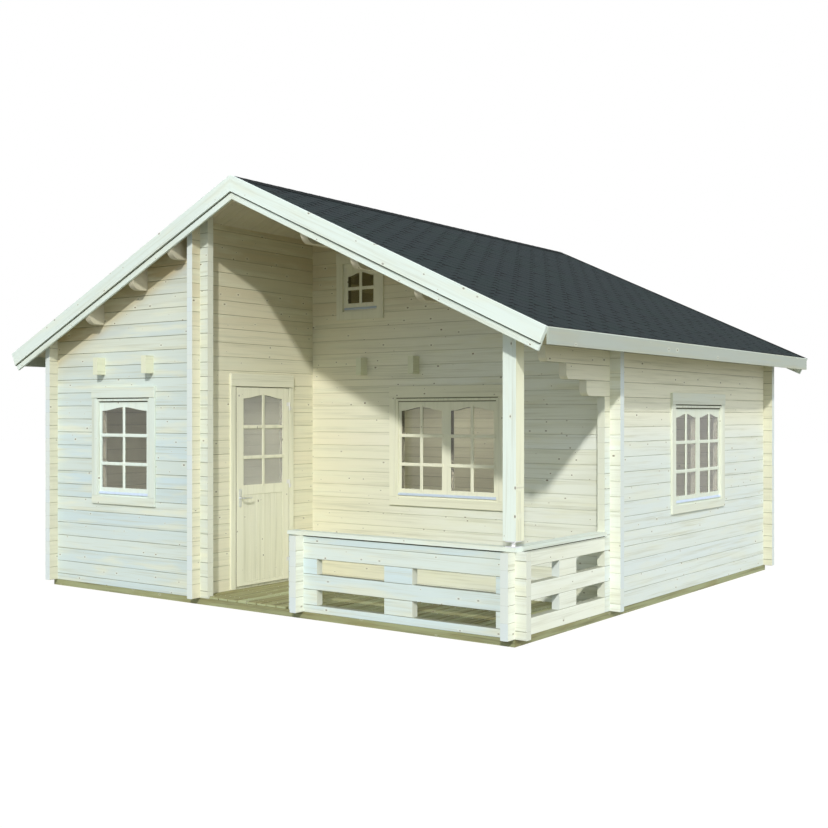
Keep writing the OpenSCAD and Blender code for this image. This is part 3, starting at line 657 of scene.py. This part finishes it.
NODE_FINISH = {
    "front_logs": "front_wall",
    "back_logs": "back_wall",
    "left_logs": "left_wall",
    "right_logs": "right_wall",
    "eaves_logs": "right_wall_top",
    "rail_x": "front_railing",
    "rail_y": "side_railing railing_stub",
    "recess_logs": "recess_wall",
    "door_logs": "door_wall_front door_wall_back door_wall_over",
    "beams": "ground_beams",
    "deck": "terrace_deck",
    "floor": "floor",
    "soffit": "roof_boards_left roof_boards_right",
    "shingle": "shingles_left shingles_right ridge_cap",
    "verge": "verge_front verge_back",
    "eaves": "eaves_left eaves_right",
    "trim_y": "side_cap",
    "trim_x": "front_cap",
    "timber_y": "ridge_beam purlins_left purlins_right",
    "joist": "loft_joists",
    "post": "corner_post",
    "sash_z": "front_window",
    "frame_z": "front_casing",
    "sash_zy": "side_window",
    "frame_zy": "side_casing",
    "terrace_sash": "terrace_window",
    "gable_sash": "gable_window",
    "casing_z": "terrace_casing",
    "leaf": "door_leaf",
    "casing_zy": "door_frame door_casing",
    "zinc": "hinge_pins hinge_barrels",
    "steel": "post_foot door_lever",
    "glass": "front_glass terrace_glass side_glass",
    "gable_pane": "gable_glass",
    "door_pane": "door_glass",
}


class CABIN_OT_finishes(bpy.types.Operator):
    """Gives every solid of the cabin its finish"""

    bl_idname = "cabin.finishes"
    bl_label = "Finishes"

    def execute(self, context):
        for name, nodes in NODE_FINISH.items():
            for node in nodes.split():
                slots = NODES[node].data.materials
                for i in range(len(slots)):
                    slots[i] = finish(name)
                if not slots:
                    slots.append(finish(name))
        return {"FINISHED"}


# ---- Roof ----


def lay_shingles(side, node, draw):
    """Felt over one slope of the roof, and on it the tabs, in courses from the eaves up."""
    s = sizes()
    low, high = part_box(node)
    reach = max(abs(low.x), abs(high.x)) / COS_P
    thick = (high.z - low.z - reach * SIN_P) * COS_P
    sheet = thick - FELT_DOWN
    peak = high.z - thick / COS_P
    hand = node.split("_")[1]

    def place(down, along, up):
        return (side * (down * COS_P + up * SIN_P), along, peak - down * SIN_P + up * COS_P)

    felt = bmesh.new()
    prism(felt, [(0, low.y), (reach, low.y), (reach, high.y), (0, high.y)], place, 0.0, sheet)
    finish_piece("roof_felt_" + hand, felt, "felt", stands_for=[node])

    # A tab has six sides, and a notch in its straight end, where the felt shows
    flat, rise, wide = s.tab_flat / 2, s.course, s.tab_w / 2
    toe_u, toe_v = flat + 0.004, -0.003
    shape = [(-toe_u, toe_v), (-flat, -s.slot), (flat, -s.slot), (toe_u, toe_v),
             (wide, -rise), (flat, -2 * rise), (-flat, -2 * rise), (-wide, -rise)]
    end = reach - s.edge_strip
    limits = ((0, 0.004, True), (0, end, False), (1, low.y, True), (1, high.y, False))
    bm = bmesh.new()
    row = -2
    while end - row * rise - 2 * rise > -rise:
        bottom = end - row * rise
        y = low.y + (s.tab_w / 2 if row % 2 else 0.0) - s.tab_w / 2
        while y < high.y + s.tab_w / 2:
            outline = [(bottom + v, y + u) for u, v in shape]
            for limit in limits:
                outline = clip(outline, *limit)
            if len(outline) > 2:
                lift = thick - draw.uniform(0.0002, 0.0010)

                def tilted(down, along, up):
                    fall = TAB_FALL * min(1.0, max(0.0, (bottom - down) / (2 * rise)))
                    return place(down, along, lift - fall if up else sheet * 0.9)

                sides = prism(bm, outline, tilted, 0, 1)[2:]
                brink = bottom - s.slot
                for i, face in enumerate(sides):
                    ends = (outline[i][0], outline[(i + 1) % len(outline)][0])
                    if all(abs(v - brink) < 1e-6 for v in ends):
                        face.material_index = 1
            y += s.tab_w
        row += 1
    finish_piece("shingle_tabs_" + hand, bm, "shingle felt")


def cap_ridge():
    """Short tabs saddled over the ridge, each lapped by the next."""
    low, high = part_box("ridge_cap")
    reach, top = high.x / COS_P, high.z
    bm = bmesh.new()
    y = low.y
    while y < high.y - 0.02:
        end = min(y + RIDGE_TAB, high.y)
        for side in (-1, 1):
            def saddle(down, up, along):
                sink = TAB_FALL * (along - y) / RIDGE_TAB
                return (side * (down * COS_P), along, top - down * SIN_P - up / COS_P - sink)

            prism(bm, [(0, 0), (reach, 0), (reach, RIDGE_T), (0, RIDGE_T)], saddle, y, end)
        y += RIDGE_STEP
    finish_piece("ridge_tabs", bm, "ridge", stands_for=["ridge_cap"])


def strip_back_edge():
    """Black strip on the back verge boards, and a fillet between them and the shingles."""
    low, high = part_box("verge_back")
    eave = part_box("shingles_right")[1]
    thick, foot = 0.0016, 0.0004 - (high.z - eave.z)
    bm = bmesh.new()
    for side in (-1, 1):
        def edge(y, up, out):
            return (side * out, y, high.z + up - out * TAN_P)

        prism(bm, [(low.y, 0), (high.y, 0), (high.y, thick), (low.y, thick)], edge,
              0.006, high.x - GAP)
        prism(bm, [(low.y - 0.016, foot), (low.y, foot), (low.y, thick), (low.y - 0.006, thick)],
              edge, 0.126, eave.x - GAP)
    finish_piece("roof_edge_back", bm, "felt")


def shade_under_verges():
    """Dark strips under the upper verge boards, on the faces of the lower ones, that paint the
    shade of the step.
    """
    s = sizes()
    low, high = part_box("verge_front")
    board = (high.y - low.y) / 2
    top, foot = s.verge_w + 0.0003, s.verge_w + s.shade_strip_h
    bm = bmesh.new()
    for face, way in ((low.y + board, -1), (-low.y - board, 1)):
        for side in (-1, 1):
            def slope(along, down, out):
                return (side * along, face + way * out, high.z - along * TAN_P - down / COS_P)

            prism(bm, [(0, top), (high.x - top * SIN_P - GAP, top),
                       (high.x - foot * SIN_P - GAP, foot), (0, foot)], slope, -0.0005, 0.0022)
    finish_piece("verge_seals", bm, "seal")


def slat_eaves():
    """Pale slat on top of each eaves board."""
    inset, slat_h = 0.0005, 0.0065
    for node in ("eaves_left", "eaves_right"):
        low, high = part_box(node)
        bm = bmesh.new()
        block(bm, (low.x + inset, low.y, high.z), (high.x - inset, high.y, high.z + slat_h),
              0.0015)
        finish_piece(node + "_slat", bm, "trim_y")


class CABIN_OT_shingles(bpy.types.Operator):
    """Lays the felt and the six-sided shingle tabs, caps the ridge, lines the back edges, puts
    strips of painted shade under the verge boards and slats the eaves boards
    """

    bl_idname = "cabin.shingles"
    bl_label = "Shingles"

    def execute(self, context):
        draw = random.Random(4)
        for side, node in ((-1, "shingles_left"), (1, "shingles_right")):
            lay_shingles(side, node, draw)
        cap_ridge()
        strip_back_edge()
        shade_under_verges()
        slat_eaves()
        return {"FINISHED"}


class CABIN_OT_roof_boards(bpy.types.Operator):
    """Lays the roof boards side by side, with a bevel along each edge below"""

    bl_idname = "cabin.roof_boards"
    bl_label = "Roof boards"

    def execute(self, context):
        w = sizes().soffit_w
        bevel, slit = 0.0045, 0.0004
        for side, node in ((-1, "roof_boards_left"), (1, "roof_boards_right")):
            low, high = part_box(node)
            reach = max(abs(low.x), abs(high.x))
            thick = high.z - low.z - reach * TAN_P

            def place(y, up, out):
                return (side * out, y, high.z - thick + up - out * TAN_P)

            bm = bmesh.new()
            y = low.y
            while y < high.y - 0.01:
                end = min(y + w, high.y)
                y0, y1 = y + slit, end - slit
                prism(bm, [(y0 + bevel, 0), (y1 - bevel, 0), (y1, bevel), (y1, thick),
                           (y0, thick), (y0, bevel)], place, 0.0, reach)
                y = end
            finish_piece("soffit_" + node.split("_")[2], bm, "soffit",
                         stands_for=[node])
        return {"FINISHED"}


# ---- Boards ----


def lay_deck(rail, stub, inner):
    """Terrace boards, cut back where the railing and the front wall stand, and their screws."""
    s = sizes()
    low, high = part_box("terrace_deck")
    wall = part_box("front_wall")
    n = round((high.x - low.x) / s.deck_w)
    step = (high.x - low.x) / n
    bm = bmesh.new()
    for i in range(n):
        x0 = low.x + i * step + s.deck_gap / 2
        x1 = x0 + step - s.deck_gap
        y0 = low.y
        if x0 < wall[1].x or x1 > rail[0].x - 2 * GAP:
            y0 = inner
        if x1 > stub[0].x - GAP and x0 < stub[1].x + GAP:
            y0 = stub[1].y + GAP
        block(bm, (x0, y0, low.z), (x1, high.y, high.z), 0.004)
    finish_piece("terrace_boards", bm, "deck", stands_for=["terrace_deck"])

    # Two screws across each board, in each of five rows
    head_r, rows = 0.0042, 5
    first, last = inner + 0.05, high.y - 0.03
    bm = bmesh.new()
    for i in range(n):
        for off in (0.25, 0.75):
            x = low.x + (i + off) * step
            for k in range(rows):
                y = first + k * (last - first) / (rows - 1)
                prism(bm, circle(head_r, 12, x, y), lambda u, v, w: (u, v, w),
                      high.z - GAP, high.z + 0.0004)
    finish_piece("deck_screws", bm, "steel")


def shade_under_caps(rail, stub):
    """Dark strips between the railing and its caps, that paint the shade under the caps."""
    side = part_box("side_railing")
    out, low_z, high_z = 0.0014, rail[1].z - 0.011, rail[1].z - 0.0004
    bm = bmesh.new()
    block(bm, (stub[1].x + GAP, rail[0].y - out, low_z),
          (side[0].x - GAP, rail[0].y + GAP, high_z), 0.0004)
    block(bm, (side[1].x - GAP, rail[1].y + GAP, low_z),
          (side[1].x + out, side[1].y - GAP, high_z), 0.0004)
    finish_piece("cap_seals", bm, "seal")


def add_foot_nuts():
    """Six-sided nuts at the two ends of the post's adjustable foot."""
    low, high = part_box("post_foot")
    nut_h, nut_r, inset = 0.014, 0.021, 0.013
    bm = bmesh.new()
    for z in (low.z + inset, high.z - inset):
        spot = ((low.x + high.x) / 2, (low.y + high.y) / 2, z)
        bmesh.ops.create_cone(bm, cap_ends=True, segments=6, radius1=nut_r, radius2=nut_r,
                              depth=nut_h, matrix=Matrix.Translation(spot))
    finish_piece("foot_nuts", bm, "zinc")


def lay_floor():
    """Floor boards indoors, in four runs round the covered corner."""
    low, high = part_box("floor")
    door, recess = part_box("door_wall_back"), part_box("recess_wall")
    left, right = recess[0].x - GAP, door[1].x + GAP
    runs = ((low.x, left, low.y, high.y),
            (left, door[0].x - GAP, low.y, recess[0].y - GAP),
            (left, right, door[1].y + GAP, high.y),
            (right, high.x, recess[1].y + GAP, high.y))
    bm = bmesh.new()
    for x0, x1, y0, y1 in runs:
        board_run(bm, x0, x1, y0, y1, low.z, high.z, sizes().floor_w, GAP, 0.0015)
    finish_piece("floor_boards", bm, "floor", stands_for=["floor"])


class CABIN_OT_boards(bpy.types.Operator):
    """Lays the terrace and floor boards, and adds the post's nuts and the strips of painted shade
    under the railing's caps
    """

    bl_idname = "cabin.boards"
    bl_label = "Floor and terrace boards"

    def execute(self, context):
        rail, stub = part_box("front_railing"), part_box("railing_stub")
        lay_deck(rail, stub, rail[1].y + GAP)
        shade_under_caps(rail, stub)
        add_foot_nuts()
        lay_floor()
        return {"FINISHED"}


# ---- Windows and trim ----


def glazing_bars(bm, place, cx, w, h, rows, glass, out):
    """Chamfered bars laid on the glass, with their ends lapped over the sash."""
    half, lip, side = sizes().bar_w / 2, 0.004, out * 0.6
    section = [(-half, glass), (half, glass), (half, glass - side), (half - lip, glass - out),
               (lip - half, glass - out), (-half, glass - side)]

    def upright(u, d, v):
        return place(cx + u, v, d)

    def level(v, d, u):
        return place(cx + u, v, d)

    prism(bm, section, upright, -BAR_LAP, h + BAR_LAP * 0.6)
    for r in rows:
        prism(bm, [(r * h + q, d + 0.0004) for q, d in section], level, -w / 2 - BAR_LAP,
              w / 2 + BAR_LAP)


class CABIN_OT_glazing(bpy.types.Operator):
    """Makes the glazing bars and drip strips of the windows"""

    bl_idname = "cabin.glazing"
    bl_label = "Glazing bars"

    def execute(self, context):
        rows = (0.298, 0.651)
        deep = SASH_SET + GLASS_IN
        # Section of a drip strip, as (depth, height), and how far it runs past the glass
        strip = [(SASH_SET, -0.041), (SASH_SET, -0.064), (-0.012, -0.064), (-0.012, -0.060),
                 (-0.004, -0.046)]
        past = 0.040
        plan = (
            ("front", "front_glass", "front", 1, rows, "sash_z"),
            ("terrace", "terrace_glass", "front", 2, rows, "terrace_sash"),
            ("side", "side_glass", "right", 2, rows, "sash_zy"),
            ("gable", "gable_glass", "front", 1, (0.484,), "gable_sash"),
        )
        for name, node, facing, lights, rails, tone in plan:
            low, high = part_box(node)
            if facing == "front":
                place = wall_place((low.x + high.x) / 2, low.y - deep, low.z, "front")
                total = high.x - low.x
            else:
                place = wall_place(high.x + deep, (low.y + high.y) / 2, low.z, "right")
                total = high.y - low.y
            w = (total - MEETING * (lights - 1)) / lights
            bm = bmesh.new()
            for i in range(lights):
                cx = (i - (lights - 1) / 2) * (w + MEETING)
                glazing_bars(bm, place, cx, w, high.z - low.z, rails, deep, sizes().bar_out)
            finish_piece(name + "_bars", bm, tone)

            def lengthwise(d, v, u):
                return place(u, v, d)

            bm = bmesh.new()
            span = total / 2 + past
            prism(bm, strip, lengthwise, -span, span)
            finish_piece(name + "_drip", bm, "drip")
        return {"FINISHED"}


class CABIN_OT_casings(bpy.types.Operator):
    """Makes the trim round the openings from separate boards, with beads inside and, under the
    heads, strips of painted shade
    """

    bl_idname = "cabin.casings"
    bl_label = "Trim boards"

    def execute(self, context):
        # Widths of the side, foot and head boards, then the finishes of level and upright ones
        window, door = (0.080, 0.083, 0.112), (0.067, 0.0, 0.122)
        plan = (
            ("front_casing", "front", window, "frame_x", "frame_z"),
            ("terrace_casing", "front", window, "casing_x", "casing_z"),
            ("side_casing", "right", window, "frame_y", "frame_zy"),
            ("door_casing", "right", door, "casing_y", "casing_zy"),
        )
        thick, thin, joint = 0.026, 0.020, 0.0005
        bead, line = sizes().bead_w, sizes().shade_strip_h
        for node, facing, (side, foot, head), level, upright in plan:
            low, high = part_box(node)
            front = facing == "front"
            u0, u1 = (low.x, high.x) if front else (low.y, high.y)
            face = high.y if front else low.x
            sill, top = low.z + foot, high.z - head

            def board(bm, a, b, z0, z1, out, back=0.0, edge=0.0025):
                if front:
                    block(bm, (a, face - out, z0), (b, face + back, z1), edge)
                else:
                    block(bm, (face - back, a, z0), (face + out, b, z1), edge)

            bm = bmesh.new()
            board(bm, u0, u1, top, high.z, thick)
            if foot:
                board(bm, u0, u1, low.z, sill, thin)
            finish_piece(node + "_level", bm, level, stands_for=[node])
            bm = bmesh.new()
            for a, b in ((u0, u0 + side), (u1 - side, u1)):
                board(bm, a, b, sill + joint, top - joint, thin)
            finish_piece(node + "_upright", bm, upright)
            if not foot:
                continue
            # Bead inside the trim, at the sides and the head, between two dark strips of painted
            # shade under the head
            beads, shade_strips = bmesh.new(), bmesh.new()
            left, right = u0 + side, u1 - side
            for bm, out, a, b, z0, z1 in (
                    (beads, 0.014, left, left + bead, sill, top - line),
                    (beads, 0.014, right - bead, right, sill, top - line),
                    (beads, 0.014, left + bead, right - bead, top - line - bead, top - line),
                    (shade_strips, 0.006, left, right, top - line, top),
                    (shade_strips, 0.004, left + bead, right - bead, top - 2 * line - bead,
                     top - line - bead)):
                board(bm, a, b, z0, z1, out, SASH_SET, 0.001)
            finish_piece(node + "_bead", beads, upright)
            # The porch's strips are lighter, for the softer shade there
            kind = "seal_in" if node == "terrace_casing" else "seal"
            finish_piece(node + "_seal", shade_strips, kind)
        return {"FINISHED"}


# ---- Door ----


class CABIN_OT_door(bpy.types.Operator):
    """Makes the glazing bars and the panel boards of the door"""

    bl_idname = "cabin.door"
    bl_label = "Door"

    def execute(self, context):
        s = sizes()
        low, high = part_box("door_leaf")
        glow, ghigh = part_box("door_glass")
        place = wall_place(high.x, (glow.y + ghigh.y) / 2, glow.z, "right")
        w, h = ghigh.y - glow.y, ghigh.z - glow.z
        bm = bmesh.new()
        glazing_bars(bm, place, 0.0, w, h, (0.305, 0.644), high.x - ghigh.x, s.bar_out)
        finish_piece("door_bars", bm, "casing_zy", body="door")
        # Vertical boards in the panel, on both faces
        bottom, top, joint = low.z + 0.035, glow.z - 0.094, 0.0002
        n = round(w / s.panel_board)
        step = w / n
        bm = bmesh.new()
        for x0, x1 in ((high.x - 0.008, high.x - 0.004), (low.x + 0.004, low.x + 0.008)):
            for i in range(n):
                y = glow.y + i * step
                block(bm, (x0, y + joint, bottom), (x1, y + step - joint, top), 0.0028)
        finish_piece("door_panel", bm, "panel", body="door")
        return {"FINISHED"}


def bend_lever(bm, place, lift):
    """Bar of the lever, bent out from the neck, along the plate and back at its tip."""
    path = [(0.0, 0.0, lift - 0.016), (0.006, 0.0, lift - 0.011), (0.020, 0.0, lift - 0.009),
            (0.060, 0.0008, lift - 0.009), (0.100, 0.0, lift - 0.010),
            (0.116, -0.001, lift - 0.014), (0.1215, -0.001, lift - 0.022)]
    points, squash = 16, 0.85
    rings = []
    for i, (u, v, d) in enumerate(path):
        r = 0.0082 if i < 3 else 0.0076
        back, ahead = Vector(path[max(i - 1, 0)]), Vector(path[min(i + 1, len(path) - 1)])
        run = (ahead - back).normalized()
        rings.append([bm.verts.new(place(u + run.z * squash * a, v + b, d - run.x * squash * a))
                      for a, b in circle(r, points)])
    for a, b in zip(rings, rings[1:]):
        for i in range(points):
            j = (i + 1) % points
            bm.faces.new((a[i], a[j], b[j], b[i]))
    bm.faces.new(rings[0])
    bm.faces.new(rings[-1])


class CABIN_OT_handle(bpy.types.Operator):
    """Makes the lever handles, their plates and the screws"""

    bl_idname = "cabin.handle"
    bl_label = "Door handle"

    def execute(self, context):
        low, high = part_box("door_leaf")
        hlow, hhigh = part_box("door_lever")
        mid_x, mid_z = (low.x + high.x) / 2, (hlow.z + hhigh.z) / 2
        plate_y = hlow.y + 0.020
        lift = hhigh.x - high.x
        plate_t, plate_r, plate_half, screw_v = 0.0035, 0.018, 0.070, 0.076
        collar, neck = (0.0125, plate_t, 0.009), (0.0075, 0.009, lift - 0.008)
        outline = []
        for cz, start in ((plate_half, 0), (-plate_half, math.pi)):
            for i in range(13):
                t = start + math.pi * i / 12
                outline.append((plate_r * math.cos(t), cz + plate_r * math.sin(t)))
        bm = bmesh.new()
        for side in (-1, 1):
            face = mid_x + side * (high.x - low.x) / 2

            def place(u, v, w):
                return (face + side * w, plate_y + u, mid_z + v)

            prism(bm, outline, place, 0.0, plate_t)
            for r, near, far in (collar, neck):
                prism(bm, circle(r, 24), place, near, far)
            bend_lever(bm, place, lift)
            for v in (screw_v, -screw_v):
                prism(bm, circle(0.0035, 12, 0.0, v), place, plate_t, 0.0047)
        finish_piece("door_handle", bm, "steel", body="door",
                     stands_for=["door_lever"], smooth=True)
        return {"FINISHED"}


# ---- Stage ----


def lamp(name, kind, energy, tone, toward=None):
    """Adds a lamp; a sun's light comes from the direction given."""
    made = bpy.data.objects.new(name, bpy.data.lights.new(name, kind))
    bpy.context.scene.collection.objects.link(made)
    made.data.energy = energy
    made.data.color = tone
    if toward:
        made.rotation_euler = Vector(toward).to_track_quat("Z", "Y").to_euler()
    return made


class CABIN_OT_stage(bpy.types.Operator):
    """Sets up the camera, the ground, the sky and the lamps"""

    bl_idname = "cabin.stage"
    bl_label = "Stage"

    def execute(self, context):
        scene = context.scene
        camera = bpy.data.objects.new("camera", bpy.data.cameras.new("camera"))
        scene.collection.objects.link(camera)
        camera.location = (7.362, -10.306, 1.762)
        camera.rotation_euler = (math.pi / 2, 0, math.radians(36.15))
        view = camera.data
        view.lens, view.sensor_width, view.shift_y, view.clip_end = 50.4, 36, 0.0014, 200
        scene.camera = camera

        sun = lamp("sun", "SUN", 2.4, (1.0, 0.99, 0.96), (0.443, -0.735, 0.514))
        sun.data.angle = math.radians(2.3)
        fill = lamp("fill", "SUN", 0.92, (0.96, 0.99, 1.0), (0.95, -0.2, 0.25))
        fill.data.angle = math.radians(50)
        room = lamp("room_lamp", "SPOT", 64, (0.97, 0.96, 0.86))
        room.location = (-1.2, 1.1, 2.25)
        room.data.spot_size = math.radians(168)
        room.data.spot_blend = 0.2
        room.data.shadow_soft_size = 0.3
        room.visible_camera = False
        room.visible_transmission = False
        room.visible_glossy = False

        # Sky and ground are near white where they are seen, but light the cabin in their own tone
        white = (1, 1, 1, 1)
        world = bpy.data.worlds.new("sky")
        scene.world = world
        world.use_nodes = True
        f = Nodes(world.node_tree)
        out = f.new("OutputWorld")
        sky, plain = f.new("Background", (0.80, 0.90, 1.0, 1), 0.62), f.new("Background", white)
        f.link(f.blend(f.seen(), sky.outputs[0], plain.outputs[0]), out.inputs[0])

        bm = bmesh.new()
        bmesh.ops.create_grid(bm, x_segments=1, y_segments=1, size=60)
        mesh = bpy.data.meshes.new("ground")
        bm.to_mesh(mesh)
        bm.free()
        ground = bpy.data.objects.new("ground", mesh)
        ground.location.z = -0.001
        scene.collection.objects.link(ground)
        f = Finish("ground")
        f.surface(Base_Color=(0.34, 0.32, 0.25, 1), Roughness=1.0, Specular_IOR_Level=0.0)
        glow = f.new("Emission", white, 1.34)
        share = f.times(f.seen(), 0.7)
        f.link(f.blend(share, f.shader.outputs[0], glow.outputs[0]), f.out.inputs[0])
        mesh.materials.append(f.material)
        scene.view_settings.view_transform = "Standard"
        return {"FINISHED"}


OPERATORS = (
    CABIN_OT_stage,
    CABIN_OT_finishes,
    CABIN_OT_shingles,
    CABIN_OT_roof_boards,
    CABIN_OT_boards,
    CABIN_OT_glazing,
    CABIN_OT_casings,
    CABIN_OT_door,
    CABIN_OT_handle,
)


class CABIN_PT_panel(bpy.types.Panel):
    """Lists the steps that dress the cabin"""

    bl_idname = "CABIN_PT_panel"
    bl_label = "Log cabin"
    bl_space_type = "VIEW_3D"
    bl_region_type = "UI"
    bl_category = "Cabin"

    def draw(self, context):
        for op in OPERATORS:
            self.layout.operator(op.bl_idname)
        for group in (context.scene.cabin_sizes, context.scene.cabin_colours):
            for name in group.__annotations__:
                self.layout.prop(group, name)


CLASSES = (CabinSizes, CabinColours, *OPERATORS, CABIN_PT_panel)


def register():
    for c in CLASSES:
        bpy.utils.register_class(c)
    bpy.types.Scene.cabin_sizes = PointerProperty(type=CabinSizes)
    bpy.types.Scene.cabin_colours = PointerProperty(type=CabinColours)


def unregister():
    del bpy.types.Scene.cabin_colours
    del bpy.types.Scene.cabin_sizes
    for c in reversed(CLASSES):
        bpy.utils.unregister_class(c)


def main():
    register()
    for op in OPERATORS:
        group, name = op.bl_idname.split(".")
        getattr(getattr(bpy.ops, group), name)()


if __name__ == "__main__":
    main()
